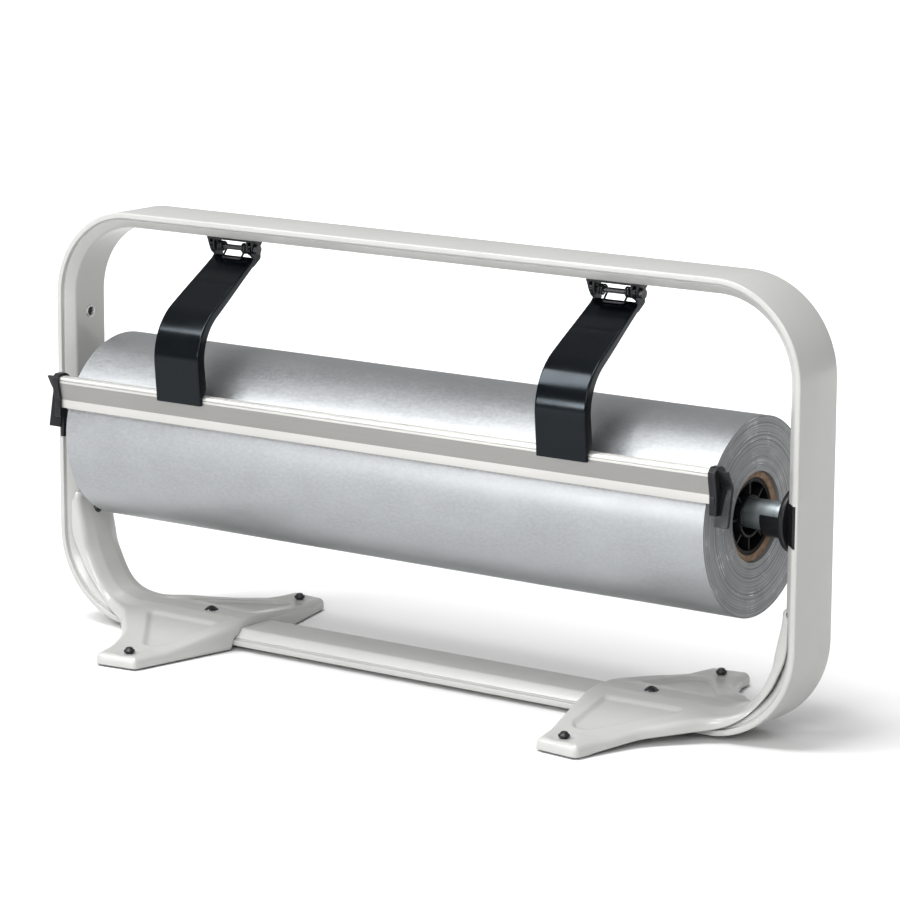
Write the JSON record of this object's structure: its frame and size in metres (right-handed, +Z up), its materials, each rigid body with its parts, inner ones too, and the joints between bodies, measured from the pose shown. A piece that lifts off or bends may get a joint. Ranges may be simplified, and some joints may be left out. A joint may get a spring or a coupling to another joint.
{
  "type": "gift wrap paper cutter",
  "caption": "Counter-top stand for a roll of gift wrap: bent tube loop on two feet, lift-out axle with the roll, and a sprung knife rail on two arms.",
  "frame": {"origin": "middle of the stand, on the counter under the rubber feet", "axes": "+X along the roll to the right seen from the front, -Y to the front where the knife rail is, +Z up"},
  "size_m": [0.583, 0.212, 0.2885],
  "materials": {
    "frame_enamel": "smooth light warm grey enamel, half gloss",
    "black_rubber": "matt black rubber",
    "black_screw": "black finished steel screws",
    "satin_black_plastic": "satin black moulded plastic",
    "zinc_steel": "zinc plated steel tube",
    "core_board": "brown wound cardboard",
    "wrap_paper": "plain silver metallic wrapping paper, unprinted",
    "pin_steel": "bright steel rivet pin",
    "spring_steel": "dark spring steel wire",
    "gloss_black_plastic": "glossy black moulded plastic",
    "satin_aluminium": "satin anodised aluminium extrusion",
    "blade_steel": "thin hardened steel strip"
  },
  "bodies": {
    "frame": {"frame_loop": "frame_enamel", "left_foot": "frame_enamel", "right_foot": "frame_enamel", "rubber_feet": "black_rubber", "foot_screws": "black_screw", "left_bearing": "satin_black_plastic", "right_bearing": "satin_black_plastic", "left_bracket": "satin_black_plastic", "right_bracket": "satin_black_plastic", "bracket_screws": "black_screw", "left_hinge_pin": "pin_steel", "right_hinge_pin": "pin_steel"},
    "axle": {"axle_tube": "zinc_steel"},
    "roll": {"left_hub": "satin_black_plastic", "right_hub": "satin_black_plastic", "roll_core": "core_board", "paper_roll": "wrap_paper"},
    "knife": {"left_arm": "gloss_black_plastic", "right_arm": "gloss_black_plastic", "knife_rail": "satin_aluminium", "tear_blade": "blade_steel", "left_end_cap": "satin_black_plastic", "right_end_cap": "satin_black_plastic", "left_spring": "spring_steel", "right_spring": "spring_steel"}
  },
  "joints": [
    {"name": "knife_swing", "type": "hinge", "parent": "frame", "child": "knife", "pos_m": [0, -0.0065, 0.2707], "axis": [-1, 0, 0], "range_deg": [0, 70], "stiffness_Nm_per_rad": 1, "springref_deg": -28.65},
    {"name": "axle_lift", "type": "slide", "parent": "frame", "child": "axle", "axis": [0, 0.5, 0.866], "range_m": [0, 0.06]},
    {"name": "roll_spin", "type": "hinge", "parent": "axle", "child": "roll", "pos_m": [0, 0, 0.1398], "axis": [1, 0, 0], "continuous": true}
  ]
}
